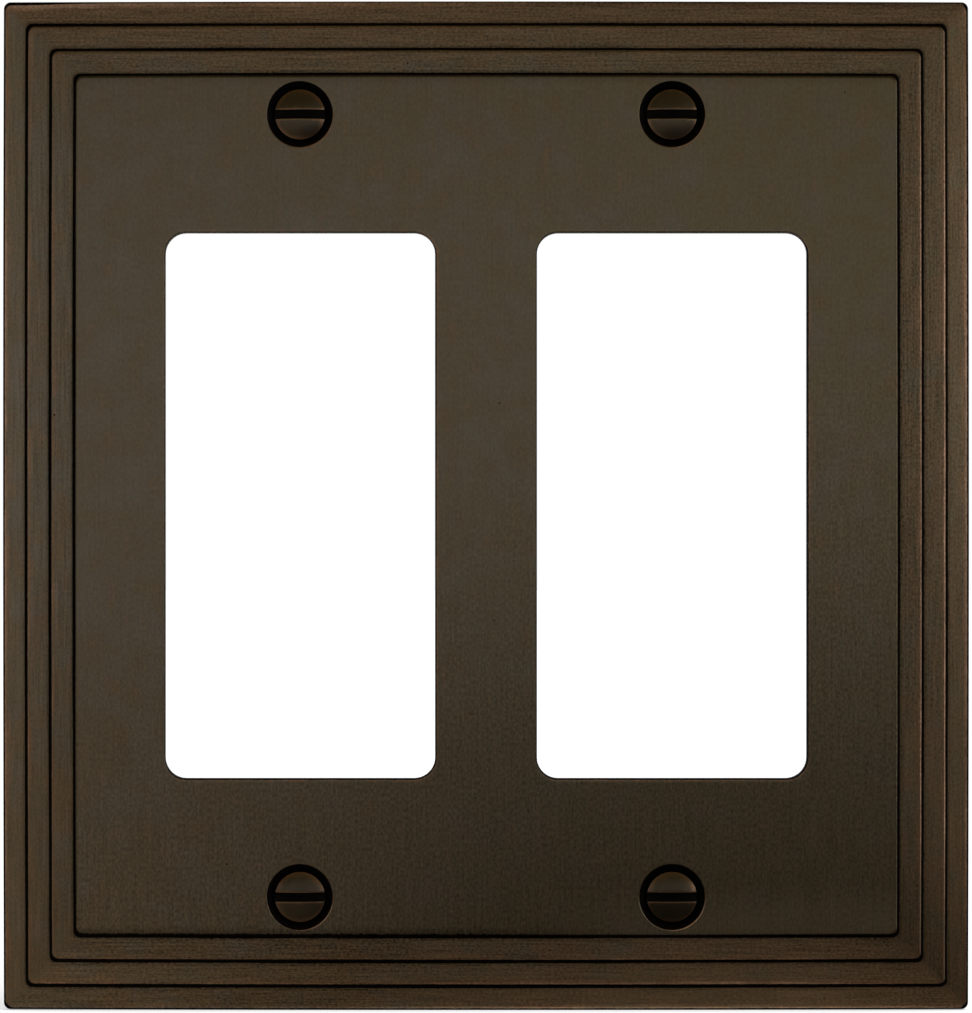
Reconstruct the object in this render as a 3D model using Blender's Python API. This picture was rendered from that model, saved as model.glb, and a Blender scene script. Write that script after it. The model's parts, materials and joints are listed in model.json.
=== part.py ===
"""Two-gang rocker wall plate: a hollow stepped casting and the four oval-head screws that hold it.

Metres, +Z up. The plate stands as it hangs on a wall: the face looks along -Y, the rim lies on the
wall plane y = 0, and the origin is the middle of the screw pattern on that plane.
"""

import math

import bmesh
import bpy
from mathutils import Matrix, Vector

# Device standard: spacing of two ganged devices, and of the cover screws of one rocker device
GANG_SPACING = 0.04604
SCREW_SPACING = 0.09684

# Outline and steps of the casting, heights counted from the wall
PLATE_WIDTH = 0.1200
PLATE_HEIGHT = 0.1253
RIM_HEIGHT = 0.0028
STEP_RISE = 0.00115
STEP_COUNT = 3
OUTER_TREAD = 0.00276
INNER_TREAD = 0.00304
RISER_RUN = 0.00022
WALL = 0.0017
PLAN_CORNER = 0.00075
EDGE_ROUND = 0.00025
FOOT_FILLET = 0.00015

# Rocker openings and the lip that stiffens them behind
WINDOW_WIDTH = 0.0334
WINDOW_HEIGHT = 0.0675
WINDOW_CORNER = 0.0026
WINDOW_EDGE_ROUND = 0.00025
LIP_WIDTH = 0.0016
LIP_DEPTH = 0.0008

# Screw holes and the bosses that carry them
HOLE_DIAMETER = 0.00475
COUNTERSINK_DIAMETER = 0.0081
COUNTERSINK_ANGLE = math.radians(82)
BOSS_DIAMETER = 0.0104
BOSS_DEPTH = 0.0015

# Oval-head slotted 6-32 screw, its length counted from the head's rim to the tip
SCREW_LENGTH = 0.0127
SHANK_DIAMETER = 0.0035
TIP_CHAMFER = 0.0004
HEAD_DIAMETER = 0.0062
HEAD_EDGE = 0.00015
HEAD_CROWN = 0.0009
SLOT_WIDTH = 0.0011
SLOT_DEPTH = 0.0010
SEAT_GAP = 0.0003

# Facets of a quarter round, of an edge rounding, of a hole and of a screw
CORNER_FACETS = 6
ROUND_FACETS = 3
HOLE_FACETS = 40
SCREW_FACETS = 32

# How far a cutter runs past what it cuts
OVERCUT = 0.002

FIELD_HEIGHT = RIM_HEIGHT + STEP_COUNT * STEP_RISE
HALF_ANGLE = COUNTERSINK_ANGLE / 2
GANG_CENTRES = (-GANG_SPACING / 2, GANG_SPACING / 2)
SCREW_LEVELS = {"upper": SCREW_SPACING / 2, "lower": -SCREW_SPACING / 2}

# Rubbed bronze of the plate and of the screws
BRONZE = (0.055, 0.042, 0.028)
BRONZE_ROUGHNESS = 0.42
SCREW_BRONZE = (0.030, 0.024, 0.018)
SCREW_ROUGHNESS = 0.38
PATINA_METALLIC = 0.85


def clear_scene():
    for old in list(bpy.data.objects):
        bpy.data.objects.remove(old, do_unlink=True)


def metal(name, colour, roughness):
    """A Principled metal of one colour, dulled by its patina."""
    material = bpy.data.materials.new(name)
    material.use_nodes = True
    shader = material.node_tree.nodes["Principled BSDF"]
    shader.inputs["Base Color"].default_value = (*colour, 1.0)
    shader.inputs["Metallic"].default_value = PATINA_METALLIC
    shader.inputs["Roughness"].default_value = roughness
    material.diffuse_color = (*colour, 1.0)
    return material


def add_object(name, bm, material=None):
    """Link a finished bmesh as an object. Without a material it is a hidden cutter or helper."""
    bmesh.ops.recalc_face_normals(bm, faces=bm.faces)
    mesh = bpy.data.meshes.new(name)
    bm.to_mesh(mesh)
    bm.free()
    obj = bpy.data.objects.new(name, mesh)
    bpy.context.collection.objects.link(obj)
    if material:
        mesh.materials.append(material)
        mesh.shade_smooth()
        mesh.set_sharp_from_angle(angle=math.radians(30))
    else:
        obj.hide_render = True
        obj.display_type = "WIRE"
    return obj


def arc(centre, radius, start, end, facets):
    """Points on an arc in a plane, from the start to the end angle in degrees."""
    angles = [math.radians(start + (end - start) * i / facets) for i in range(facets + 1)]
    return [(centre[0] + radius * math.cos(a), centre[1] + radius * math.sin(a)) for a in angles]


def rounded_rectangle(width, height, corner):
    """Outline of a rectangle with round corners, about its own middle, in X and Z."""
    x = width / 2 - corner
    z = height / 2 - corner
    turns = (((x, z), 0), ((-x, z), 90), ((-x, -z), 180), ((x, -z), 270))
    outline = []
    for centre, start in turns:
        outline += arc(centre, corner, start, start + 90, CORNER_FACETS)
    return outline


def loft(bm, sections, centre=(0.0, 0.0)):
    """Close a solid over rounded rectangles. Each is its width, height, corner and height off the wall."""
    loops = []
    for width, height, corner, level in sections:
        outline = rounded_rectangle(width, height, corner)
        loops.append([bm.verts.new((centre[0] + x, -level, centre[1] + z)) for x, z in outline])
    for below, above in zip(loops, loops[1:]):
        for i in range(len(below)):
            bm.faces.new((below[i - 1], below[i], above[i], above[i - 1]))
    bm.faces.new(loops[0])
    bm.faces.new(loops[-1])


def turn(bm, profile, facets, x=0.0, z=0.0):
    """Spin a profile of radius and y about an axis along Y. It starts and ends on the axis."""
    points = [bm.verts.new((x + radius, y, z)) for radius, y in profile]
    edges = [bm.edges.new(pair) for pair in zip(points, points[1:])]
    bmesh.ops.spin(
        bm,
        geom=points + edges,
        cent=(x, 0.0, z),
        axis=(0.0, 1.0, 0.0),
        angle=2 * math.pi,
        steps=facets,
        use_merge=True,
    )
    bmesh.ops.remove_doubles(bm, verts=bm.verts, dist=1e-6)


def step_profile(wall):
    """Inset and height of the casting's surface, from the rim at the wall to the edge of the field.

    A wall of 0 gives the front. Otherwise the profile is moved in and down by that much, for the hollow.
    """
    top = RIM_HEIGHT
    profile = [(0.0, 0.0 if wall == 0 else -OVERCUT)]
    profile += arc((EDGE_ROUND, top - EDGE_ROUND), EDGE_ROUND, 180, 90, ROUND_FACETS)
    inset = OUTER_TREAD
    for _ in range(STEP_COUNT):
        profile += arc((inset - FOOT_FILLET, top + FOOT_FILLET), FOOT_FILLET, 270, 360, ROUND_FACETS)
        top += STEP_RISE
        edge = (inset + RISER_RUN + EDGE_ROUND, top - EDGE_ROUND)
        profile += arc(edge, EDGE_ROUND, 180, 90, ROUND_FACETS)
        inset += INNER_TREAD
    return [(inset + wall, level - (wall if level > 0 else 0.0)) for inset, level in profile]


def stepped_block(name, wall, material=None):
    """The plate's stepped form as a solid, or with a wall the form of the hollow behind it."""
    sections = [
        (PLATE_WIDTH - 2 * inset, PLATE_HEIGHT - 2 * inset, PLAN_CORNER, level)
        for inset, level in step_profile(wall)
    ]
    bm = bmesh.new()
    loft(bm, sections)
    return add_object(name, bm, material)


def rear_thickenings():
    """Lips round the openings and bosses round the screw holes, rooted in the field's wall."""
    root = FIELD_HEIGHT - WALL / 2
    lip_back = FIELD_HEIGHT - WALL - LIP_DEPTH
    boss_back = FIELD_HEIGHT - WALL - BOSS_DEPTH
    lip = (WINDOW_WIDTH + 2 * LIP_WIDTH, WINDOW_HEIGHT + 2 * LIP_WIDTH, WINDOW_CORNER + LIP_WIDTH)
    boss = BOSS_DIAMETER / 2
    boss_profile = [(0.0, -root), (boss, -root), (boss, -boss_back), (0.0, -boss_back)]
    bm = bmesh.new()
    for x in GANG_CENTRES:
        loft(bm, [(*lip, lip_back), (*lip, root)], (x, 0.0))
        for z in SCREW_LEVELS.values():
            turn(bm, boss_profile, HOLE_FACETS, x, z)
    return add_object("rear_thickenings", bm)


def openings():
    """Cutters for the rocker openings, flared into a rounded front edge, and for the screw holes."""
    lip = WINDOW_EDGE_ROUND
    flare = [(0.0, -OVERCUT)] + [
        (lip + inset, FIELD_HEIGHT + level)
        for inset, level in arc((0.0, -lip), lip, 180, 90, ROUND_FACETS)
    ]
    flare.append((lip, FIELD_HEIGHT + OVERCUT))
    hole = HOLE_DIAMETER / 2
    sink = COUNTERSINK_DIAMETER / 2
    sink_depth = (sink - hole) / math.tan(HALF_ANGLE)
    past = OVERCUT * math.tan(HALF_ANGLE)
    hole_profile = [
        (0.0, OVERCUT),
        (hole, OVERCUT),
        (hole, sink_depth - FIELD_HEIGHT),
        (sink + past, -FIELD_HEIGHT - OVERCUT),
        (0.0, -FIELD_HEIGHT - OVERCUT),
    ]
    bm = bmesh.new()
    for x in GANG_CENTRES:
        loft(
            bm,
            [
                (WINDOW_WIDTH + 2 * spread, WINDOW_HEIGHT + 2 * spread, WINDOW_CORNER + spread, level)
                for spread, level in flare
            ],
            (x, 0.0),
        )
        for z in SCREW_LEVELS.values():
            turn(bm, hole_profile, HOLE_FACETS, x, z)
    return add_object("openings", bm)


def boolean(obj, operation, other):
    modifier = obj.modifiers.new(f"{operation.lower()}_{other.name}", "BOOLEAN")
    modifier.operation = operation
    modifier.solver = "EXACT"
    modifier.object = other


def cover_plate(material):
    """The casting: stepped block, hollowed behind, thickened at its openings, then cut through."""
    plate = stepped_block("cover_plate", 0.0, material)
    boolean(plate, "DIFFERENCE", stepped_block("hollow", WALL))
    boolean(plate, "UNION", rear_thickenings())
    boolean(plate, "DIFFERENCE", openings())
    return plate


def screw_mesh():
    """One screw about the Y axis, with its head's rim in the plane y = 0 and its tip at +Y."""
    head = HEAD_DIAMETER / 2
    shank = SHANK_DIAMETER / 2
    cone = (head - shank) / math.tan(HALF_ANGLE)
    crown_radius = (head**2 + HEAD_CROWN**2) / (2 * HEAD_CROWN)
    crown_spread = math.asin(head / crown_radius)
    crown = [
        (crown_radius * math.sin(a), crown_radius * (1 - math.cos(a)) - HEAD_CROWN - HEAD_EDGE)
        for a in (crown_spread * i / CORNER_FACETS for i in range(CORNER_FACETS + 1))
    ]
    profile = crown + [
        (head, 0.0),
        (shank, cone),
        (shank, SCREW_LENGTH - TIP_CHAMFER),
        (shank - TIP_CHAMFER, SCREW_LENGTH),
        (0.0, SCREW_LENGTH),
    ]
    bm = bmesh.new()
    turn(bm, profile, SCREW_FACETS)
    return bm


def screws(material):
    """Four screws seated in their countersinks, each with its origin on its hole's axis."""
    head_sunk = (COUNTERSINK_DIAMETER - HEAD_DIAMETER) / 2 / math.tan(HALF_ANGLE)
    rim_depth = head_sunk - SEAT_GAP / math.sin(HALF_ANGLE)
    top = rim_depth - HEAD_CROWN - HEAD_EDGE
    slots = bmesh.new()
    made = []
    for level, z in SCREW_LEVELS.items():
        for side, x in zip(("left", "right"), GANG_CENTRES):
            obj = add_object(f"screw_{level}_{side}", screw_mesh(), material)
            obj.location = (x, rim_depth - FIELD_HEIGHT, z)
            made.append(obj)
            low = top - OVERCUT
            high = top + SLOT_DEPTH
            middle = Vector((x, (low + high) / 2 - FIELD_HEIGHT, z))
            size = (2 * HEAD_DIAMETER, high - low, SLOT_WIDTH, 1.0)
            bmesh.ops.create_cube(slots, size=1.0, matrix=Matrix.Translation(middle) @ Matrix.Diagonal(size))
    cutter = add_object("slots", slots)
    for obj in made:
        boolean(obj, "DIFFERENCE", cutter)


clear_scene()
cover_plate(metal("rubbed_bronze", BRONZE, BRONZE_ROUGHNESS))
screws(metal("screw_bronze", SCREW_BRONZE, SCREW_ROUGHNESS))
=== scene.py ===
"""Looks of a two-gang rocker wall plate in rubbed bronze, with its four oval-head cover screws."""

import json
import math

import bmesh
import bpy
import numpy as np
from mathutils.geometry import delaunay_2d_cdt
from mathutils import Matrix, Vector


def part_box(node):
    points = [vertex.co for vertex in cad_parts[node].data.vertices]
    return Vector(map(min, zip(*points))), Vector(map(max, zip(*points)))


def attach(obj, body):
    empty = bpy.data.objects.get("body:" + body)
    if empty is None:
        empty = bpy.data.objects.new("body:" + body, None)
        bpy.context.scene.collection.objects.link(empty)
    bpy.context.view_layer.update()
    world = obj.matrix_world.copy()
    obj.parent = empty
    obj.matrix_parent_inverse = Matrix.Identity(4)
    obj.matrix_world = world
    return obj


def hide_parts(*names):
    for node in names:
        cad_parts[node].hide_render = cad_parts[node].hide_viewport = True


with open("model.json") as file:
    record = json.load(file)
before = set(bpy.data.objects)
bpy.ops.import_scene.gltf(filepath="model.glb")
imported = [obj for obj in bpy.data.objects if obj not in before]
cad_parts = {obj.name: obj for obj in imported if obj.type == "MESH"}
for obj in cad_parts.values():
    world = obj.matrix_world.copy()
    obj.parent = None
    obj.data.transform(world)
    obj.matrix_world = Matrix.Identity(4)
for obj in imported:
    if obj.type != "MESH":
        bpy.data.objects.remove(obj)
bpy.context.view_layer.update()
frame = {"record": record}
scene = bpy.context.scene
scene.view_settings.view_transform = "Standard"

# Cover plate: one hollow bronze casting whose border climbs in three steps to a flat field. It is
# brushed, blackened all over, then rubbed back so that its edges show copper and its corners stay
# black. Painted shade and painted highlights lie along its edges. It lies with its rim on the wall
# and hangs on its four screws.
plate_low, plate_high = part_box("cover_plate")
half_width = (plate_high.x - plate_low.x) / 2
half_height = (plate_high.z - plate_low.z) / 2
field_level = -plate_low.y
rim_level = 0.0028
step_rise = 0.00115
outer_tread = 0.00276
inner_tread = 0.00304
riser_run = 0.00022
feet = outer_tread + inner_tread * np.arange(3)
crests = feet + riser_run
edge_round = 0.00025
foot_fillet = 0.00015
plan_corner = 0.00085
wall = 0.0017
rim_chamfer = 0.0002
field_margin = 0.0001
end_stretch = 1.036
ceiling_level = field_level - wall
crease_angle = math.radians(40)


def quarter(centre, radius, start, turn, count):
    """Points on a quarter round: centre plus radius times the cosine and sine of an even fan of angles."""
    angle = np.radians(np.linspace(start, start + turn, count))
    return np.column_stack([centre[0] + radius * np.cos(angle), centre[1] + radius * np.sin(angle)])


def stair(shift, count):
    """Inset and level of the stepped surface, from its outer side to its field.

    Each step is a fillet at its foot and a round at its edge. Shift moves the whole stair in and down.
    """
    top = rim_level
    runs = [quarter((edge_round, top - edge_round), edge_round, 180, -90, count)]
    for foot in feet:
        runs.append(quarter((foot - foot_fillet, top + foot_fillet), foot_fillet, 270, 90, count))
        top += step_rise
        edge = (foot + riser_run + edge_round, top - edge_round)
        runs.append(quarter(edge, edge_round, 180, -90, count))
    return np.vstack(runs) + np.array([shift, -shift])


def refined(profile, longest):
    """The profile with points added along it so that no stretch is longer than given."""
    walked = np.append(0.0, np.cumsum(np.hypot(*np.diff(profile, axis=0).T)))
    steps = np.arange(0.0, walked[-1], longest)
    both = np.union1d(walked, steps)
    both = both[np.append(True, np.diff(both) > 1e-7)]
    return np.column_stack([np.interp(both, walked, column) for column in profile.T])


def round_path(corner_count, side_count):
    """A round-cornered rectangle as four rows: the corner centre of each point, and the way it faces.

    On a corner the centre is fixed and the facing turns. Along a side the facing is fixed and the
    centre slides.
    """
    angle = np.radians(np.linspace(0, 90, corner_count)[None] + 90 * np.arange(4)[:, None])
    corner_x = np.array([1.0, -1.0, -1.0, 1.0])[:, None]
    corner_z = np.array([1.0, 1.0, -1.0, -1.0])[:, None]
    slide = np.linspace(0, 1, side_count + 2)[1:-1][None]
    ahead_x = np.roll(corner_x, -1)
    ahead_z = np.roll(corner_z, -1)
    held = np.ones_like(angle)
    along = np.ones_like(slide)
    centre_x = np.hstack([corner_x * held, corner_x + (ahead_x - corner_x) * slide])
    centre_z = np.hstack([corner_z * held, corner_z + (ahead_z - corner_z) * slide])
    face_x = np.hstack([np.cos(angle), np.cos(angle[:, -1:]) * along])
    face_z = np.hstack([np.sin(angle), np.sin(angle[:, -1:]) * along])
    return [row.ravel() for row in (centre_x, centre_z, face_x, face_z)]


def facing_shares(face_x, face_z):
    """How far a path faces left, right, up and down: four squares that sum to one at every point."""
    return np.maximum(np.stack([-face_x, face_x, face_z, -face_z]), 0)**2


def carried(path, half_x, half_z, inset, corner, level, middle=(0.0, 0.0), stretch=1.0):
    """A profile carried round a path: corner centres scaled to the inset rectangle, plus the corner radius.

    Stretch widens the inset at the two ends, above and below.
    """
    centre_x, centre_z, face_x, face_z = path
    x = middle[0] + centre_x * (half_x - inset - corner) + corner * face_x
    z = middle[1] + centre_z * (half_z - stretch * inset - corner) + corner * face_z
    return np.stack([x, -level + 0 * x, z], axis=2)


def grid_faces(rows, columns, first, closed):
    """Quads between neighbouring rows of a grid. A closed grid also joins its last column to its first."""
    across = np.arange(columns if closed else columns - 1)
    row, column = np.meshgrid(np.arange(rows - 1), across, indexing="ij")
    ahead = (column + 1) % columns
    quads = np.stack([row * columns + column, row * columns + ahead, (row + 1) * columns + ahead,
                      (row + 1) * columns + column], axis=2)
    return (quads.reshape(-1, 4) + first).tolist()


def set_out(name, data):
    """A new object in the scene."""
    piece = bpy.data.objects.new(name, data)
    scene.collection.objects.link(piece)
    return piece


class Shell:
    """Points, faces and surface marks gathered sheet by sheet, then closed into one mesh."""

    def __init__(self, *marks):
        self.marks = marks
        self.points = []
        self.faces = []
        self.values = {mark: [] for mark in self.marks}
        self.count = 0

    def add_points(self, points, marks, shape):
        """Points in a row, each mark spread over the shape that they came in."""
        for mark in self.marks:
            self.values[mark].append(np.broadcast_to(marks.get(mark, 0.0), shape).ravel())
        self.points.append(points)
        self.count += len(points)

    def add_sheet(self, points, closed=True, **marks):
        """A grid of points with its marks spread over the same grid."""
        rows, columns = points.shape[:2]
        self.faces += grid_faces(rows, columns, self.count, closed)
        self.add_points(points.reshape(-1, 3), marks, (rows, columns))

    def add_flat(self, outer, holes, level, inside, **marks):
        """A flat sheet between an outer rim and the rims of its holes, from a Delaunay triangulation.

        Triangles whose middle lies outside the sheet are dropped.
        """
        loops = [outer, *holes]
        flat = np.vstack(loops)[:, [0, 2]]
        starts = np.cumsum([0] + [len(loop) for loop in loops[:-1]])
        edges = np.vstack([
            np.column_stack([np.arange(len(loop)), np.roll(np.arange(len(loop)), -1)]) + start
            for loop, start in zip(loops, starts)
        ])
        found = delaunay_2d_cdt(flat.tolist(), edges.tolist(), [], 1, 1e-8, False)
        points = np.array(found[0])
        triangles = np.array(found[2])
        middle = points[triangles].mean(axis=1)
        kept = triangles[inside(middle[:, 0], middle[:, 1])] + self.count
        self.faces += kept.tolist()
        solid = np.column_stack([points[:, 0], np.full(len(points), -level), points[:, 1]])
        self.add_points(solid, marks, (len(points),))

    def finish(self, name, material):
        """One closed mesh: shared rims merged, faces turned outwards, rounds shaded smooth."""
        mesh = bpy.data.meshes.new(name)
        mesh.from_pydata(np.vstack(self.points).tolist(), [], self.faces)
        for mark in self.marks:
            layer = mesh.attributes.new(mark, "FLOAT", "POINT")
            layer.data.foreach_set("value", np.concatenate(self.values[mark]).astype(np.float32))
        bm = bmesh.new()
        bm.from_mesh(mesh)
        bmesh.ops.remove_doubles(bm, verts=bm.verts, dist=1e-7)
        loose = [vert for vert in bm.verts if not vert.link_faces]
        bmesh.ops.delete(bm, geom=loose, context="VERTS")
        bmesh.ops.recalc_face_normals(bm, faces=bm.faces)
        bm.to_mesh(mesh)
        bm.free()
        mesh.shade_smooth()
        mesh.set_sharp_from_angle(angle=crease_angle)
        mesh.materials.append(material)
        return set_out(name, mesh)


# The border's outline runs from the hollow's ceiling out over the rim and up the steps to the field.
back = stair(wall, 5)[::-1]
back = back[back[:, 1] > rim_chamfer]
back = np.vstack([
    [(back[0, 0] + field_margin, ceiling_level)],
    back,
    quarter((wall - rim_chamfer, rim_chamfer), rim_chamfer, 0, -90, 3),
])
front = np.vstack([quarter((rim_chamfer, rim_chamfer), rim_chamfer, 270, -90, 3), stair(0.0, 7)])
front = np.vstack([front, [(front[-1, 0] + field_margin, field_level)]])
back = refined(back, 0.0012)
front = refined(front, 0.0002)
border = np.vstack([back, front])
is_front = np.arange(len(border)) >= len(back)
front_inset = front[:, :1]
front_level = front[:, 1:]

# The border's path. Marks on one side of it fade into the next side round the corner.
plate_path = round_path(9, 78)
along_x, along_z, face_x, face_z = plate_path
on_left, on_right, on_top, on_bottom = facing_shares(face_x, face_z)
on_corner = 4 * face_x**2 * face_z**2
lap = np.arange(len(face_x)) / len(face_x) * 2 * math.pi
step_index = np.arange(3)[:, None]


def by_side(left, right, top, bottom):
    """A value for each side of the border, mixed by how far the border faces that way."""
    return left * on_left + right * on_right + top * on_top + bottom * on_bottom


def ramp(value, start, end):
    """Nought at the start and before it, one at the end and beyond, and straight between them."""
    return np.clip((value - start) / (end - start), 0, 1)


def blackened(gap):
    """The black mark, black patina and painted shade, across an edge of the black: one well inside it, 0.45
    on it, nought well outside.
    """
    return np.clip(0.45 - gap / 0.0003, 0, 1)


def fading(gap, reach):
    """One where the gap opens, falling to nought at its reach, and nought where it isn't open yet."""
    return np.where(gap > -0.0001, ramp(gap, reach, 0.0), 0.0)


def waves(*terms):
    """Sines along the lap, summed: size times the sine of the turns, moved a little further at each step."""
    return sum(size * np.sin(turns * lap + move * step_index + phase) for size, turns, move, phase in terms)


rightward = 0.5 + 0.5 * along_x
right_end = ramp(rightward, 1 / 3, 2 / 3)
left_end = ramp(rightward, 1 / 3, 0.0)
towards_corner = ramp(along_x, 0.72, 0.97)
towards_end = ramp(np.abs(along_z), 0.7, 0.95)

# Black patina lies along the foot of every step. Its width and place by side are painted shade: it is
# broadest below and thinnest on the right, and its width swells and fades slowly along the border.
riser_middle = feet + riser_run / 2
black_reach = riser_run / 2 + by_side(left=0.00011, right=0.000075, top=0.00011, bottom=0.00016)
black_reach = black_reach + 0.000022 * waves((0.6, 5, 1.3, 0.0), (0.4, 13, 2.2, 0.7))
black_reach = black_reach - 0.000015 * step_index * (on_top + on_bottom)
black_shift = by_side(left=0.00006, right=-0.00006, top=-0.00005, bottom=0.00005)
black_middle = riser_middle[:, None] + black_shift
from_edge = front_inset[:, None]
foot_mark = blackened(np.abs(from_edge - black_middle) - black_reach).max(axis=1)

# Painted shade darkens the outer side, up over its round edge, and it is black at the upper left corner.
upper_left_black = np.exp(-((lap - math.pi / 2) / np.where(lap < math.pi / 2, 0.11, 0.05))**2)
side_reach = by_side(left=0.00028, right=0.0003, top=0.00018, bottom=0.00024)
side_reach = side_reach + 0.00008 * on_corner + 0.00022 * upper_left_black
side_shade = blackened(front_inset - side_reach) * np.maximum(upper_left_black, 0.75 + 0.1 * on_bottom)
side_shade = side_shade * ramp(front_level, rim_level - 0.001875, rim_level - 0.000375)
side_below = ramp(front_level, rim_level - 0.0003, rim_level - 0.0009)

# Rubbing bares copper along the inner side of the black: at the outer edge and on the edges of the steps.
# Where this mark is strongest it also lays a painted highlight on the edge.
edge_gap = from_edge - np.vstack([side_reach, black_middle + black_reach])
edge_near = fading(edge_gap, 0.0009 + 0.0004 * on_top)
outer_rub = by_side(
    left=0.93 * (1 - 0.2 * towards_end),
    right=1 - 0.3 * towards_end,
    top=1.3 - 0.85 * rightward,
    bottom=0.55 + 0.15 * rightward,
)
step_rub = by_side(
    left=0.75 * (1 - 0.2 * towards_end),
    right=1 - 0.45 * towards_end,
    top=0.5,
    bottom=(0.75 + 0.4 * right_end) * (1 - 0.4 * towards_corner),
)
second_rub = (0.9 - 0.15 * on_bottom) * step_rub
field_rub = np.full_like(lap, 0.2)
rub_mark = (edge_near * np.stack([outer_rub, step_rub, second_rub, field_rub])).max(axis=1)
rub_mark[-1] = 0.0

# Painted shade thins out from the black over the tread below it, and over the rim of the field.
step_shade_gap = np.hstack([black_middle - black_reach - from_edge, edge_gap[:, 3:]])
step_shade = fading(step_shade_gap, 0.00035).max(axis=1)
step_shade[-1] = 0.0
# Painted shade along the outer edge of the top side, on its right half.
top_shade = ramp(front_inset, 0.0011, 0.0) * on_top * ramp(rightward, 0.4, 0.6)


def front_only(mark):
    """A mark of the front spread over the whole border, nought behind."""
    return np.vstack([np.zeros((len(back), len(face_x))), mark])


# Hand finishing leaves every riser a little uneven, and the whole outline swells a little between its
# corners.
riser_share = ramp(np.abs(front_inset - riser_middle), 0.0004, 0.0)
riser_wave = waves((0.5, 23, 2.1, 0.4), (0.3, 41, 2.1, 1.9), (0.25, 67, 2.1, 4.4))
uneven = front_only(0.00002 * riser_share @ riser_wave)
bow = np.where(np.abs(face_z) > 0.7, along_x, along_z)**2
border_inset = border[:, :1] + uneven + 0.00011 * bow

# Each side was brushed by hand in its own way, and its tone is lifted or lowered on its own, lifted
# most of all low down on the right.
on_steps = (is_front & (border[:, 0] < crests[2]))[:, None] * 1.0
tread_share = np.interp(border[:, :1], [outer_tread, *crests], [1.0, 0.5, 0.1, -0.15])
middle_tread = np.clip(4 * tread_share * (1 - tread_share), 0, 1)
warm_mark = 0.05 + by_side(left=0.0, right=0.12, top=0.1 + 0.18 * tread_share, bottom=0.02 + 0.2 * rightward)
coarse_mark = by_side(left=1.9, right=3.2, top=2.8, bottom=4.6 + 1.2 * right_end - 1.2 * left_end)
drawn_mark = by_side(left=0.6, right=0.48, top=0.48, bottom=0.48)
end_polish = (0.85 + 0.55 * tread_share) * right_end * (1 - 0.5 * towards_corner)
polish = by_side(
    left=0.16 * tread_share,
    right=0.34 * tread_share - 0.08 + 0.35 * np.exp(-((along_z + 0.7) / 0.3)**2),
    top=-0.05,
    bottom=0.1 * tread_share + 0.2 * middle_tread + end_polish,
)
# Painted shade at the steps and along the top edge, and a darker outer side below its rim, lower the tone.
darkened = front_only(0.45 * step_shade + 0.35 * top_shade + 0.35 * side_below)
casting = Shell("recess", "rub", "warm", "polish", "coarse", "drawn", "border", "rear")
border_sheet = carried(plate_path, half_width, half_height, border_inset, plan_corner, border[:, 1:],
                       stretch=end_stretch)
casting.add_sheet(
    border_sheet,
    recess=front_only(np.maximum(foot_mark, side_shade)),
    rub=front_only(rub_mark),
    warm=warm_mark * on_steps,
    polish=polish * on_steps - darkened,
    coarse=coarse_mark * on_steps,
    drawn=drawn_mark * on_steps,
    border=on_steps,
    rear=(~is_front)[:, None] * 1.0,
)

# Rocker openings, cast through the plate: each has a soft front edge, a blackened wall and a lip that
# thickens the edge behind.
window_boxes = [np.array(space["box_m"]) for space in frame["record"]["physics"]["openings"][:2]]
window_middles = [(float(box[:, 0].mean()), 0.0) for box in window_boxes]
window_half_x = 0.0334 / 2
window_half_z = 0.0675 / 2
window_corner = 0.0026
window_round = 0.00025
window_margin = 0.0010
lip_width = 0.0016
lip_level = ceiling_level - 0.0008
lip_round = 0.0003


def nearness(profile, corner, reach):
    """One at the corner, falling evenly to nought for points of the profile that are reach away."""
    return ramp(np.hypot(*(profile - np.array(corner)).T)[:, None], reach, 0.0)


def past_lowest(profile):
    """One for points of the profile from its lowest level on, which lie behind, and nought before."""
    return (np.arange(len(profile)) >= profile[:, 1].argmin())[:, None] * 1.0


window = refined(np.vstack([
    [(-window_margin, field_level)],
    quarter((-window_round, field_level - window_round), window_round, 90, -90, 6),
    quarter((-lip_round, lip_level + lip_round), lip_round, 0, -90, 5),
    quarter((lip_round - lip_width, lip_level + lip_round), lip_round, 270, -90, 5),
    quarter((-lip_width - lip_round, ceiling_level - lip_round), lip_round, 0, 90, 5),
    [(-lip_width - window_margin, ceiling_level)],
]), 0.0004)
window_inset = window[:, :1]
window_level = window[:, 1:]
window_path = round_path(11, 14)
window_left, window_right, window_top, window_low = facing_shares(*window_path[2:])
window_wall = ramp(window_level, field_level - 0.00009, field_level - 0.00019)
window_rear = past_lowest(window)
# Copper wear round each window's front edge, with a painted highlight added along its right and lower sides.
window_rub = nearness(window, (0.0, field_level), 0.0006) * (0.35 + 0.9 * window_right + 0.8 * window_low)
window_rims = []
lip_rims = []
for middle, left_reach in zip(window_middles, (0.00008, 0.00014)):
    # The black reaches further over the front edge on the right and below than on the left, and is held back
    # above.
    edge_reach = left_reach * window_left + 0.0002 * (window_right - window_top) + 0.00017 * window_low
    window_black = np.maximum(window_wall, blackened(-edge_reach - window_inset))
    sheet = carried(window_path, window_half_x, window_half_z, window_inset, window_corner - window_inset,
                    window_level, middle)
    casting.add_sheet(sheet, recess=window_black * (1 - window_rear), rub=window_rub, rear=window_rear)
    window_rims.append(sheet[0])
    lip_rims.append(sheet[-1])

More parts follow.
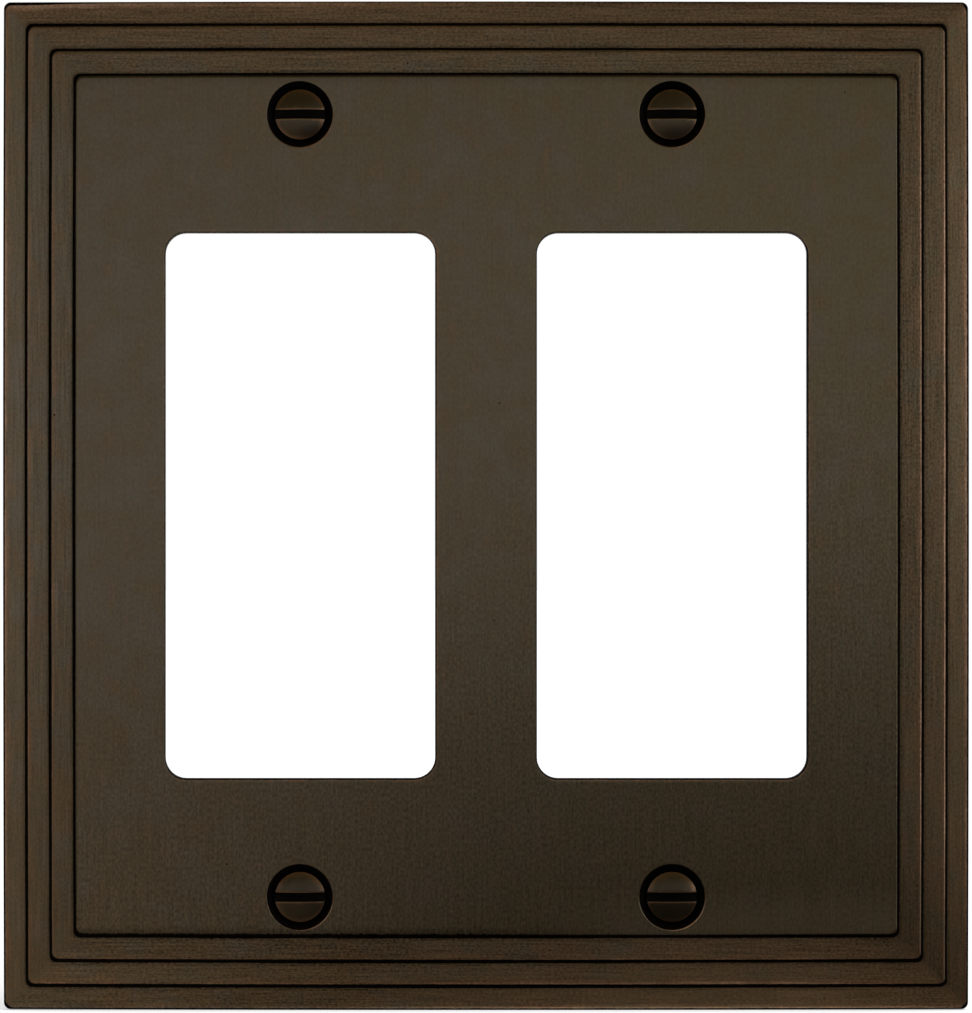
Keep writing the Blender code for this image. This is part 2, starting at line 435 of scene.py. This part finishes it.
# Screw holes, drilled and countersunk for an oval head. Each is carried by a cast boss that merges into the
# hollow's steps: its sheet is closed inside the metal and cut along the steps later.
screw_names = ("screw_upper_left", "screw_upper_right", "screw_lower_left", "screw_lower_right")
screw_boxes = {name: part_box(name) for name in screw_names}
hole_middles = [((low.x + high.x) / 2, (low.z + high.z) / 2) for low, high in screw_boxes.values()]
hole_columns = 72
hole_radius = 0.00475 / 2
hole_round = 0.00015
sink_radius = 0.0081 / 2
sink_slope = math.tan(math.radians(41))
sink_round = 0.00014
sink_margin = 0.00003
sink_depth = (sink_radius - hole_radius) / sink_slope
boss_radius = 0.0104 / 2
boss_level = ceiling_level - 0.0015
boss_round = 0.0004
hidden_level = ceiling_level + 0.00003
hidden_radius = 0.00266
hole = refined(np.vstack([
    [(sink_radius + sink_round + sink_margin, field_level)],
    quarter((sink_radius + sink_round, field_level - sink_round), sink_round, 90, 55, 4),
    [(hole_radius, field_level - sink_depth)],
    quarter((hole_radius + hole_round, boss_level + hole_round), hole_round, 180, 90, 3),
    quarter((boss_radius - boss_round, boss_level + boss_round), boss_round, 270, 90, 5),
    [(boss_radius, hidden_level), (hidden_radius, hidden_level), (hidden_radius, ceiling_level)],
]), 0.0004)
hole_angle = np.linspace(0, 2 * math.pi, hole_columns, endpoint=False)[None]
# hole_light is highest on the lower right of each rim, which faces the light from the upper left: there the
# black starts lower and a painted highlight is added to the copper wear.
hole_light = np.maximum(np.cos(hole_angle + math.radians(50)), 0)
black_start = field_level - 0.00002 - 0.00002 * hole_light
hole_black = ramp(hole[:, 1:], black_start, black_start - 0.00006)
hole_rub = nearness(hole, (sink_radius + sink_round / 2, field_level), 0.0003) * (0.2 + 1.2 * hole_light**2)
hole_rub[0] = 0.0
hole_rear = past_lowest(hole)
sink_rims = []
boss_rims = []
for middle in hole_middles:
    x = middle[0] + hole[:, :1] * np.cos(hole_angle)
    z = middle[1] + hole[:, :1] * np.sin(hole_angle)
    sheet = np.stack([x, -hole[:, 1:] + 0 * x, z], axis=2)
    casting.add_sheet(sheet, recess=hole_black * (1 - hole_rear), rub=hole_rub, rear=hole_rear)
    sink_rims.append(sheet[0])
    boss_rims.append(sheet[-1])


def outside_openings(spread, radius):
    """A test for points beyond every opening.

    Their distance to each round-cornered rectangle and to the rim of each hole is positive.
    """
    def test(x, z):
        clear = np.ones(len(x), bool)
        corner = window_corner + spread
        for middle in window_middles:
            past_x = np.maximum(np.abs(x - middle[0]) - (window_half_x + spread - corner), 0)
            past_z = np.maximum(np.abs(z - middle[1]) - (window_half_z + spread - corner), 0)
            clear &= np.hypot(past_x, past_z) > corner
        for middle in hole_middles:
            clear &= np.hypot(x - middle[0], z - middle[1]) > radius * math.cos(math.pi / hole_columns)
        return clear
    return test


casting.add_flat(border_sheet[-1], window_rims + sink_rims, field_level,
                 outside_openings(-window[0, 0], hole[0, 0]))
casting.add_flat(border_sheet[0], lip_rims + boss_rims, ceiling_level,
                 outside_openings(-window[-1, 0], hidden_radius), rear=1.0)


def place(tree, kind, inputs=(), **settings):
    """A node with its settings, each listed input filled with a value or linked from a socket."""
    made = tree.nodes.new(kind)
    for name, value in settings.items():
        setattr(made, name, value)
    for name, value in dict(inputs).items():
        if isinstance(value, bpy.types.NodeSocket):
            tree.links.new(value, made.inputs[name])
        else:
            made.inputs[name].default_value = value
    return made


def sums(tree, operation, first, second=0.0, third=0.0):
    """The result socket of one Math node."""
    return place(tree, "ShaderNodeMath", {0: first, 1: second, 2: third}, operation=operation).outputs[0]


def off_middle(tree, value, size, base):
    """The base plus the value's distance from one half, times the size."""
    return sums(tree, "MULTIPLY_ADD", sums(tree, "SUBTRACT", value, 0.5), size, base)


def mixed(tree, share, first, second):
    """The result socket of a mix of two values."""
    return place(tree, "ShaderNodeMix", {0: share, 2: first, 3: second}).outputs[0]


def blended(tree, share, first, second, blend_type="MIX"):
    """The result socket of a mix of two colours."""
    inputs = {0: share, 6: first, 7: second}
    return place(tree, "ShaderNodeMix", inputs, data_type="RGBA", blend_type=blend_type).outputs[2]


def smoothed(tree, value, low, high, to_low=0.0, to_high=1.0):
    """The result socket of a smooth step between two values."""
    inputs = {"Value": value, "From Min": low, "From Max": high, "To Min": to_low, "To Max": to_high}
    return place(tree, "ShaderNodeMapRange", inputs, interpolation_type="SMOOTHSTEP").outputs["Result"]


def speckle(tree, vector, size, detail, roughness=0.55):
    """Noise from nought to one whose patches are about size metres across."""
    inputs = {"Vector": vector, "Scale": 1 / size, "Detail": detail, "Roughness": roughness}
    return place(tree, "ShaderNodeTexNoise", inputs).outputs["Fac"]


def paired(tree, x, y):
    """A flat vector of two values."""
    return place(tree, "ShaderNodeCombineXYZ", {"X": x, "Y": y}).outputs[0]


def new_group(name, inputs, outputs):
    """An empty shader node group with named sockets, and its two ends."""
    tree = bpy.data.node_groups.new(name, "ShaderNodeTree")
    for socket, kind in inputs.items():
        tree.interface.new_socket(socket, in_out="INPUT", socket_type="NodeSocket" + kind)
    for socket, kind in outputs.items():
        tree.interface.new_socket(socket, in_out="OUTPUT", socket_type="NodeSocket" + kind)
    return tree, tree.nodes.new("NodeGroupInput").outputs, tree.nodes.new("NodeGroupOutput").inputs


def brushing_group():
    """Brushing along one way: noise squeezed across the brush and drawn out along it.

    Short grain, about twice as long as wide, lies among long scratches. Drawn is the share of the long
    ones.
    """
    inputs = dict.fromkeys(("Across", "Along", "Width", "Length", "Drawn"), "Float")
    tree, given, result = new_group("brushing", inputs, {"Scratch": "Float", "Streak": "Float"})
    across = sums(tree, "DIVIDE", given["Across"], given["Width"])
    short = sums(tree, "DIVIDE", given["Along"], sums(tree, "MULTIPLY", given["Width"], 1.6))
    long = sums(tree, "DIVIDE", given["Along"], given["Length"])
    long_way = paired(tree, across, long)
    widening = {0: long_way, 1: (0.3, 1.4, 1.0)}
    wide_way = place(tree, "ShaderNodeVectorMath", widening, operation="MULTIPLY").outputs[0]
    grain = speckle(tree, paired(tree, across, short), 1.0, 1.5)
    scratch = speckle(tree, long_way, 1.0, 3.0, 0.7)
    tree.links.new(mixed(tree, given["Drawn"], grain, scratch), result["Scratch"])
    tree.links.new(speckle(tree, wide_way, 1.0, 2.0), result["Streak"])
    return tree


def rubbed_patina_group():
    """Patina rubbed back by hand: black where the patina-and-shade mark is high, copper where the
    wear-and-highlight mark is high.

    Both edges are broken up by noise, and the brown between them drifts from warm to grey in soft patches.
    Where the wear-and-highlight mark is highest, a painted highlight lies over the copper.
    """
    colours = dict.fromkeys(("Brown", "Warm", "Grey", "Copper", "Highlight", "Black"), "Color")
    values = ("Patina and shade", "Wear and highlight", "Scratch", "Streak", "Contrast", "Warmth", "Tone lift")
    tree, given, result = new_group(
        "rubbed_patina",
        {"Vector": "Vector", **colours, **dict.fromkeys(values, "Float")},
        {"Color": "Color", "Roughness": "Float", "Height": "Float", "Bare": "Float"},
    )
    vector = given["Vector"]
    drift = speckle(tree, vector, 0.0030, 4.0)
    ragged = speckle(tree, vector, 0.0009, 4.0, 0.65)
    grain = speckle(tree, vector, 0.00018, 2.0)
    wander = smoothed(tree, speckle(tree, vector, 0.014, 2.0), 0.34, 0.62, 0.5, 1.0)
    grey_share = smoothed(tree, speckle(tree, vector, 0.0046, 3.0), 0.42, 0.72)
    brown = blended(tree, grey_share, given["Brown"], given["Grey"])
    warm_drift = sums(tree, "ADD", sums(tree, "MULTIPLY_ADD", given["Streak"], 0.3, drift), given["Warmth"])
    warm_grain = sums(tree, "MULTIPLY", given["Scratch"], sums(tree, "ADD", given["Warmth"], 0.3))
    warm_share = smoothed(tree, sums(tree, "ADD", warm_drift, warm_grain), 0.75, 1.3)
    brown = blended(tree, warm_share, brown, given["Warm"])
    broken = sums(tree, "MULTIPLY_ADD", given["Streak"], 1.1, sums(tree, "SUBTRACT", ragged, 1.05))
    worn = sums(tree, "MULTIPLY", given["Wear and highlight"], wander)
    rub_share = smoothed(tree, sums(tree, "ADD", worn, broken), 0.05, 0.9, 0.0, 0.9)
    rubbed = blended(tree, rub_share, brown, given["Copper"])
    # Painted highlight: the brightest copper, laid where the wear-and-highlight mark peaks.
    highlight_share = smoothed(tree, off_middle(tree, drift, 0.7, given["Wear and highlight"]), 0.62, 1.15)
    rubbed = blended(tree, highlight_share, rubbed, given["Highlight"])
    shade = off_middle(tree, given["Scratch"], given["Contrast"], 1.0)
    shade = sums(tree, "ADD", off_middle(tree, ragged, 0.16, shade), given["Tone lift"])
    shade_grey = place(tree, "ShaderNodeCombineColor", {0: shade, 1: shade, 2: shade}).outputs[0]
    scratched = blended(tree, 1.0, rubbed, shade_grey, "MULTIPLY")
    black_share = smoothed(tree, off_middle(tree, ragged, 0.42, given["Patina and shade"]), 0.34, 0.56)
    tree.links.new(blended(tree, black_share, scratched, given["Black"]), result["Color"])
    rough = sums(tree, "MULTIPLY_ADD", black_share, 0.2, sums(tree, "MULTIPLY_ADD", drift, 0.12, 0.33))
    tree.links.new(sums(tree, "MULTIPLY_ADD", rub_share, -0.06, rough), result["Roughness"])
    relief = sums(tree, "MULTIPLY_ADD", grain, 0.3, given["Scratch"])
    tree.links.new(sums(tree, "MULTIPLY_ADD", ragged, 0.25, relief), result["Height"])
    tree.links.new(sums(tree, "SUBTRACT", 1.0, black_share), result["Bare"])
    return tree


def new_material(name):
    """A material, its node tree and its shader."""
    material = bpy.data.materials.new(name)
    material.use_nodes = True
    return material, material.node_tree, material.node_tree.nodes["Principled BSDF"]


def surface(tree, marks):
    """The place on the surface, its three axes, and its marks by name."""
    where = place(tree, "ShaderNodeTexCoord").outputs["Object"]
    axes = place(tree, "ShaderNodeSeparateXYZ", {0: where}).outputs
    read = {name: place(tree, "ShaderNodeAttribute", attribute_name=name).outputs["Fac"] for name in marks}
    return where, axes, read


def feed_shader(tree, shader, colour, rough, bare, height, strength):
    """Colour, roughness, bare metal and a fine relief led into the shader."""
    tree.links.new(colour, shader.inputs["Base Color"])
    tree.links.new(rough, shader.inputs["Roughness"])
    tree.links.new(bare, shader.inputs["Metallic"])
    bump = place(tree, "ShaderNodeBump", {"Strength": strength, "Distance": 0.00001, "Height": height})
    tree.links.new(bump.outputs[0], shader.inputs["Normal"])
    shader.inputs["Specular IOR Level"].default_value = 0.02


brushing = brushing_group()
rubbed_patina = rubbed_patina_group()


def plate_bronze():
    """Brushed upright on the field and along the border on the treads, with a sandy cast skin behind."""
    material, tree, shader = new_material("plate_bronze")
    where, axes, mark = surface(tree, casting.marks)

    # The brush: finer on the border, turned at the mitres, coarser towards the lower right of the field.
    brush = {
        "Width": sums(tree, "MULTIPLY_ADD", mark["border"], -0.00006, 0.0003),
        "Length": 0.009,
        "Drawn": sums(tree, "ADD", mark["drawn"], sums(tree, "MULTIPLY_ADD", mark["border"], -0.36, 0.36)),
    }
    upright_way = {"Across": axes["X"], "Along": axes["Z"], **brush}
    sideways_way = {"Across": axes["Z"], "Along": axes["X"], **brush}
    upright = place(tree, "ShaderNodeGroup", upright_way, node_tree=brushing).outputs
    sideways = place(tree, "ShaderNodeGroup", sideways_way, node_tree=brushing).outputs
    from_side = sums(tree, "SUBTRACT", half_width, sums(tree, "ABSOLUTE", axes["X"]))
    from_end = sums(tree, "SUBTRACT", half_height, sums(tree, "ABSOLUTE", axes["Z"]))
    mitre = smoothed(tree, sums(tree, "SUBTRACT", from_side, from_end), -0.002, 0.002)
    crosswise = sums(tree, "MULTIPLY", mitre, mark["border"])
    slant = sums(tree, "MULTIPLY_ADD", axes["X"], -0.4, axes["Z"])
    field_coarse = smoothed(tree, slant, 0.015, -0.04, 0.7, 2.1)

    # A few small black pits, far apart.
    cells = {"Vector": paired(tree, axes["X"], axes["Z"]), "Scale": 1 / 0.011}
    pits = place(tree, "ShaderNodeTexVoronoi", cells, voronoi_dimensions="2D").outputs
    pit_colour = place(tree, "ShaderNodeSeparateColor", {0: pits["Color"]}).outputs[0]
    chosen = sums(tree, "LESS_THAN", pit_colour, 0.15)
    pitted = sums(tree, "MULTIPLY", smoothed(tree, pits["Distance"], 0.018, 0.008, 0.0, 0.5), chosen)

    # On the field, both ends are darker, most at the lower left, and the lower right near its end is
    # lighter.
    field_start = end_stretch * crests[2]
    rim_near = smoothed(tree, from_end, field_start + 0.0015, field_start)
    low_end = sums(tree, "LESS_THAN", axes["Z"], 0.0)
    low_darkening = smoothed(tree, axes["X"], -0.005, 0.02, 0.5, 0.0)
    rim_darkening = sums(tree, "MULTIPLY", mixed(tree, low_end, 0.2, low_darkening), rim_near)
    low_right = sums(tree, "MULTIPLY", low_end, smoothed(tree, axes["X"], 0.0, 0.03, 0.0, 0.4))
    low_rub = sums(tree, "MULTIPLY", low_right, smoothed(tree, from_end, 0.0165, 0.0105))
    field_polish = sums(tree, "SUBTRACT", low_rub, rim_darkening)
    field_share = sums(tree, "SUBTRACT", 1.0, mark["border"])

    rightness = smoothed(tree, axes["X"], -0.05, 0.05)
    finish = {
        "Vector": where,
        "Patina and shade": sums(tree, "MAXIMUM", mark["recess"], pitted),
        "Wear and highlight": mark["rub"],
        "Scratch": mixed(tree, crosswise, upright["Scratch"], sideways["Scratch"]),
        "Streak": mixed(tree, crosswise, upright["Streak"], sideways["Streak"]),
        "Contrast": mixed(tree, mark["border"], field_coarse, mark["coarse"]),
        "Warmth": mark["warm"],
        "Tone lift": sums(tree, "MULTIPLY_ADD", field_polish, field_share, mark["polish"]),
        "Brown": blended(tree, rightness, (0.077, 0.063, 0.043, 1.0), (0.076, 0.0615, 0.0375, 1.0)),
        "Grey": blended(tree, rightness, (0.079, 0.067, 0.052, 1.0), (0.077, 0.0645, 0.045, 1.0)),
        "Warm": (0.091, 0.061, 0.036, 1.0),
        "Copper": (0.114, 0.066, 0.039, 1.0),
        # The colour of the painted highlight on the most rubbed edges.
        "Highlight": (0.210, 0.132, 0.090, 1.0),
        "Black": (0.0012, 0.0007, 0.0006, 1.0),
    }
    patina = place(tree, "ShaderNodeGroup", finish, node_tree=rubbed_patina).outputs
    sand = speckle(tree, where, 0.00035, 3.0)
    cast = blended(tree, sand, (0.040, 0.033, 0.025, 1.0), (0.080, 0.065, 0.048, 1.0))
    colour = blended(tree, mark["rear"], patina["Color"], cast)
    rough = mixed(tree, mark["rear"], patina["Roughness"], 0.62)
    height = mixed(tree, mark["rear"], patina["Height"], sums(tree, "MULTIPLY", sand, 6.0))
    feed_shader(tree, shader, colour, rough, patina["Bare"], height, 0.25)
    return material


def cut_crossings(piece):
    """The piece with its own sheets cut along each other and without what lies inside the metal.

    It is what the piece shares with a block that is larger all round. The points of the new seams, at the
    bosses' radius behind the ceiling, get the rear mark.
    """
    crossed = piece.data
    block_mesh = bpy.data.meshes.new("block")
    bm = bmesh.new()
    bmesh.ops.create_cube(bm, size=4 * half_height)
    bm.to_mesh(block_mesh)
    bm.free()
    block = set_out("block", block_mesh)
    shared = piece.modifiers.new("shared", "BOOLEAN")
    shared.operation = "INTERSECT"
    shared.solver = "EXACT"
    shared.use_self = True
    shared.object = block
    evaluated = piece.evaluated_get(bpy.context.evaluated_depsgraph_get())
    mesh = bpy.data.meshes.new_from_object(evaluated)
    piece.modifiers.clear()
    piece.data = mesh
    bpy.data.objects.remove(block)
    bpy.data.meshes.remove(block_mesh)
    bpy.data.meshes.remove(crossed)
    mesh.set_sharp_from_angle(angle=crease_angle)
    spots = np.empty(3 * len(mesh.vertices), np.float32)
    mesh.vertices.foreach_get("co", spots)
    x, y, z = spots.reshape(-1, 3).T
    rear = np.empty(len(mesh.vertices), np.float32)
    mesh.attributes["rear"].data.foreach_get("value", rear)
    for middle in hole_middles:
        seam_gap = np.abs(np.hypot(x - middle[0], z - middle[1]) - boss_radius)
        rear[(seam_gap < 0.00003) & (y > -hidden_level)] = 1.0
    mesh.attributes["rear"].data.foreach_set("value", rear)


plate = casting.finish("plate", plate_bronze())
cut_crossings(plate)
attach(plate, "plate")
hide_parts("cover_plate")

# Cover screws: 6-32 oval-head machine screws of steel, headed, slotted and thread-rolled, then bronzed to
# match the plate. Each goes through its countersunk hole into the tapped yoke of the device behind.
head_radius = 0.0062 / 2
head_crown = 0.0009
screw_length = 0.0127
shank_radius = 0.0035 / 2
core_radius = 0.00133
neck_radius = 0.00155
neck_length = 0.0005
thread_pitch = 0.0254 / 32
thread_rows = 110
tip_chamfer = 0.0004
edge_land = 0.00036
slot_half = 0.0011 / 2
slot_depth = 0.0010
slot_round = 0.00007
slot_fillet = 0.0001


def slot_rows():
    """Rows from the head's lower rim to its upper one: place across the slot, drop, share of floor, lift.

    Over the crown a row only has its place. At the slot it rolls over a small round, goes down the wall and
    runs out in a fillet on to the flat floor. The upper half mirrors the lower one.
    """
    turn = np.linspace(0, math.pi / 2, 4)
    slot_angle = math.asin((slot_half + slot_round) / head_radius)
    crown = head_radius * np.sin(np.linspace(-math.pi / 2, -slot_angle, 17))
    none = np.zeros_like
    over = np.column_stack([crown, none(crown), none(crown), none(crown)])
    edge = -slot_half - slot_round + slot_round * np.sin(turn[1:])
    rolled = np.column_stack([edge, slot_round * (1 - np.cos(turn[1:])), none(edge), none(edge)])
    wall_row = np.array([[-slot_half, slot_round, 0.5, 0.0]])
    foot = -slot_half + slot_fillet * (1 - np.cos(turn))
    filleted = np.column_stack([foot, none(foot), none(foot) + 1.0, slot_fillet * (1 - np.sin(turn))])
    half = np.vstack([over, rolled, wall_row, filleted])
    middle = np.array([[0.0, 0.0, 1.0, 0.0]])
    return np.vstack([half, middle, half[::-1] * np.array([-1.0, 1.0, 1.0, 1.0])])


def head_top(top):
    """The crown as a spherical cap over rows of points, mixed with the slot's floor by each row's share."""
    across, drop, share, lift = slot_rows().T[:, :, None]
    reach = np.sqrt(np.maximum(head_radius**2 - across**2, 0.0))
    x = reach * np.sin(np.linspace(-math.pi / 2, math.pi / 2, 25))[None]
    ball = (head_radius**2 + head_crown**2) / (2 * head_crown)
    crown = top + ball - np.sqrt(ball**2 - x**2 - across**2)
    y = (1 - share) * (crown + drop) + share * (top + slot_depth - lift)
    return np.stack([x, y, across + 0 * x], axis=2)


def shank_sheet(rim, start):
    """The screw below its crown: edge, cone, neck, thread and tip, carried round the head's own outline.

    The thread's radius is a ridge over the core that follows the length in pitches plus the angle in turns.
    It grows out of the neck over one pitch and is cut back by the chamfer at the tip.
    """
    angle = np.arctan2(start[:, 2], start[:, 0])[None]
    cone_end = rim + edge_land + (head_radius - neck_radius) / sink_slope
    thread_start = cone_end + neck_length
    tip = rim + screw_length
    y = np.linspace(thread_start, tip, thread_rows)[:, None]
    phase = np.mod(y / thread_pitch + angle / (2 * math.pi), 1.0)
    ridge = np.clip(1.3 * (1 - np.abs(2 * phase - 1)) - 0.12, 0, 1)
    grown = ramp(y, thread_start, thread_start + thread_pitch)
    radius = (1 - grown) * neck_radius + grown * (core_radius + (shank_radius - core_radius) * ridge)
    radius = np.minimum(radius, shank_radius - tip_chamfer + tip - y)
    plain = np.array([
        (head_radius, rim + 0.00003),
        (head_radius, rim + edge_land),
        (neck_radius + 0.0001, cone_end - 0.00012),
        (neck_radius, cone_end + 0.0001),
    ])
    radius = np.vstack([plain[:, :1] + 0 * angle, radius, 0.5 * radius[-1:], 0 * angle])
    y = np.vstack([plain[:, 1:], y, [[tip], [tip]]])
    rest = np.stack([radius * np.cos(angle), y + 0 * angle, radius * np.sin(angle)], axis=2)
    return np.concatenate([start[None], rest]), np.vstack([angle * 0 + head_radius, radius])


def screw_bronze():
    """Dark bronzed steel with turning marks round the crown, rubbed to copper on its rim and along the slot,
    with a painted highlight there.
    """
    material, tree, shader = new_material("screw_bronze")
    where, axes, mark = surface(tree, ("recess", "rub", "spin"))
    lathe = {"Across": mark["spin"], "Along": axes["Z"], "Width": 0.00016, "Length": 0.004, "Drawn": 0.7}
    turning = place(tree, "ShaderNodeGroup", lathe, node_tree=brushing).outputs
    finish = {
        "Vector": where,
        "Patina and shade": mark["recess"],
        "Wear and highlight": mark["rub"],
        "Scratch": turning["Scratch"],
        "Streak": turning["Streak"],
        "Contrast": 0.5,
        "Brown": (0.038, 0.031, 0.021, 1.0),
        "Warm": (0.047, 0.033, 0.021, 1.0),
        "Grey": (0.040, 0.034, 0.026, 1.0),
        "Copper": (0.090, 0.054, 0.032, 1.0),
        # The colour of the painted highlight on the rim and the slot's edges.
        "Highlight": (0.130, 0.085, 0.056, 1.0),
        "Black": (0.0022, 0.0017, 0.0013, 1.0),
    }
    patina = place(tree, "ShaderNodeGroup", finish, node_tree=rubbed_patina).outputs
    feed_shader(tree, shader, patina["Color"], patina["Roughness"], patina["Bare"], patina["Height"], 0.3)
    return material


screw_finish = screw_bronze()
for name, (low, high) in screw_boxes.items():
    axis = np.array([(low.x + high.x) / 2, 0.0, (low.z + high.z) / 2])
    top_sheet = head_top(low.y)
    top_share = slot_rows()[:, 2:3]
    top_spin = np.hypot(top_sheet[:, :, 0], top_sheet[:, :, 2])
    slot_gap = np.abs(np.abs(top_sheet[:, :, 2]) - slot_half)
    top_rub = np.maximum(ramp(slot_gap, 0.0004, 0.0), ramp(top_spin, head_radius - 0.0007, head_radius))
    outline = np.concatenate([top_sheet[:, -1], top_sheet[-2:0:-1, 0]])
    shank, shank_spin = shank_sheet(high.y - screw_length, outline)
    behind_edge = np.arange(len(shank))[:, None] > 2
    screw = Shell("recess", "rub", "spin")
    screw.add_sheet(top_sheet + axis, closed=False, recess=1.2 * top_share, rub=top_rub, spin=top_spin)
    screw.add_sheet(shank + axis, recess=0.22 * behind_edge, rub=0.9 * ~behind_edge, spin=shank_spin)
    piece = screw.finish(name + "_turned", screw_finish)
    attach(piece, name)
    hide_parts(name)

# Floor and light: a pale floor under the plate's lower edge, a white surround that the metal mirrors, and
# soft lamps above and to the right that pick out the upper and right edges of the steps.
floor_reach = 4.0
floor_glow = 0.42


def flat_sheet(name, corners, material):
    """One flat face through four corners."""
    mesh = bpy.data.meshes.new(name)
    mesh.from_pydata(corners, [], [(0, 1, 2, 3)])
    mesh.materials.append(material)
    return set_out(name, mesh)


def seen_rays(tree):
    """One for rays that show the surroundings: from the camera, off gloss or through glass."""
    path = place(tree, "ShaderNodeLightPath").outputs
    seen = sums(tree, "MAXIMUM", path["Is Camera Ray"], path["Is Glossy Ray"])
    return sums(tree, "MAXIMUM", seen, path["Is Transmission Ray"])


pale, pale_tree, pale_shader = new_material("pale_floor")
pale_shader.inputs["Base Color"].default_value = (0.82, 0.82, 0.82, 1.0)
pale_shader.inputs["Roughness"].default_value = 0.9
pale_shader.inputs["Specular IOR Level"].default_value = 0.1
pale_shader.inputs["Emission Color"].default_value = (1.0, 1.0, 1.0, 1.0)
pale_glow = sums(pale_tree, "MULTIPLY", seen_rays(pale_tree), floor_glow)
pale_tree.links.new(pale_glow, pale_shader.inputs["Emission Strength"])
floor_sides = [(-1, -1), (1, -1), (1, 1), (-1, 1)]
floor_corners = [(floor_reach * x, floor_reach * y, plate_low.z) for x, y in floor_sides]
floor = flat_sheet("floor", floor_corners, pale)

world = bpy.data.worlds.new("studio")
scene.world = world
world.use_nodes = True
sky = world.node_tree
sky_level = smoothed(sky, seen_rays(sky), 0.0, 1.0, 0.5, 1.0)
sky.nodes["Background"].inputs["Color"].default_value = (1.0, 1.0, 1.0, 1.0)
sky.links.new(sky_level, sky.nodes["Background"].inputs["Strength"])


def shining(way):
    """The turn that makes a lamp shine along the way."""
    return Vector(way).to_track_quat("-Z", "Y").to_euler()


side_light = bpy.data.lights.new("lamp_right", "AREA")
side_light.shape = "RECTANGLE"
side_light.size = 0.4
side_light.size_y = 0.6
side_light.energy = 2.0
side_lamp = set_out("lamp_right", side_light)
side_lamp.location = (0.75, -0.25, 0.15)
side_lamp.rotation_euler = shining((-0.75, 0.25, -0.15))
sun_light = bpy.data.lights.new("key", "SUN")
sun_light.energy = 1.2
sun_light.angle = math.radians(35)
sun = set_out("key", sun_light)
sun.rotation_euler = shining((-0.35, 0.45, -1.0))
sun.visible_glossy = False


def card(name, corners, tint, left_level, middle_level, right_level):
    """A card that only the metal sees, graded from its left level over its middle one to its right one."""
    paint, tree, shader = new_material(name)
    shader.inputs["Base Color"].default_value = (0.0, 0.0, 0.0, 1.0)
    shader.inputs["Specular IOR Level"].default_value = 0.0
    shader.inputs["Emission Color"].default_value = (*tint, 1.0)
    where = place(tree, "ShaderNodeTexCoord").outputs["Object"]
    side = place(tree, "ShaderNodeSeparateXYZ", {0: where}).outputs["X"]
    left_half = smoothed(tree, side, -0.08, 0.02, left_level, middle_level)
    right_half = smoothed(tree, side, 0.0, 0.07, 0.0, right_level - middle_level)
    tree.links.new(sums(tree, "ADD", left_half, right_half), shader.inputs["Emission Strength"])
    holder = flat_sheet(name, corners, paint)
    holder.visible_camera = False
    holder.visible_diffuse = False
    holder.visible_transmission = False
    holder.visible_shadow = False


warm_grey = (1.0, 0.84, 0.64)
gold = (1.0, 0.8, 0.38)
card_foot = plate_low.z + 0.0003
card_near = -rim_level - 0.0006
low_corners = [(-0.3, card_near, card_foot), (0.3, card_near, card_foot), (0.3, -0.16, -0.012),
               (-0.3, -0.16, -0.037)]
above_corners = [(-0.3, -0.2, 0.078), (0.3, -0.2, 0.078), (0.3, 0.05, 0.24), (-0.3, 0.05, 0.24)]
left_corners = [(-0.25, -0.12, -0.05), (-0.25, -0.12, 0.25), (-0.3, 0.05, 0.25), (-0.3, 0.05, -0.05)]
card("card_low", low_corners, warm_grey, 0.72, 0.13, 0.17)
card("card_above", above_corners, gold, 0.4, 0.4, 0.4)
card("card_left", left_corners, warm_grey, 0.1, 0.1, 0.1)

# Camera: square on to the plate, as far as makes the nearer field stand out as it does in the photograph.
view_distance = 0.8
frame_height = 0.12527
camera_data = bpy.data.cameras.new("camera")
camera_data.sensor_width = 36.0
camera_data.lens = camera_data.sensor_width * view_distance / frame_height
camera = set_out("camera", camera_data)
camera.location = (0.0, -field_level - view_distance, -0.0001)
camera.rotation_euler = (math.pi / 2, 0.0, 0.0)
scene.camera = camera

bpy.context.view_layer.update()
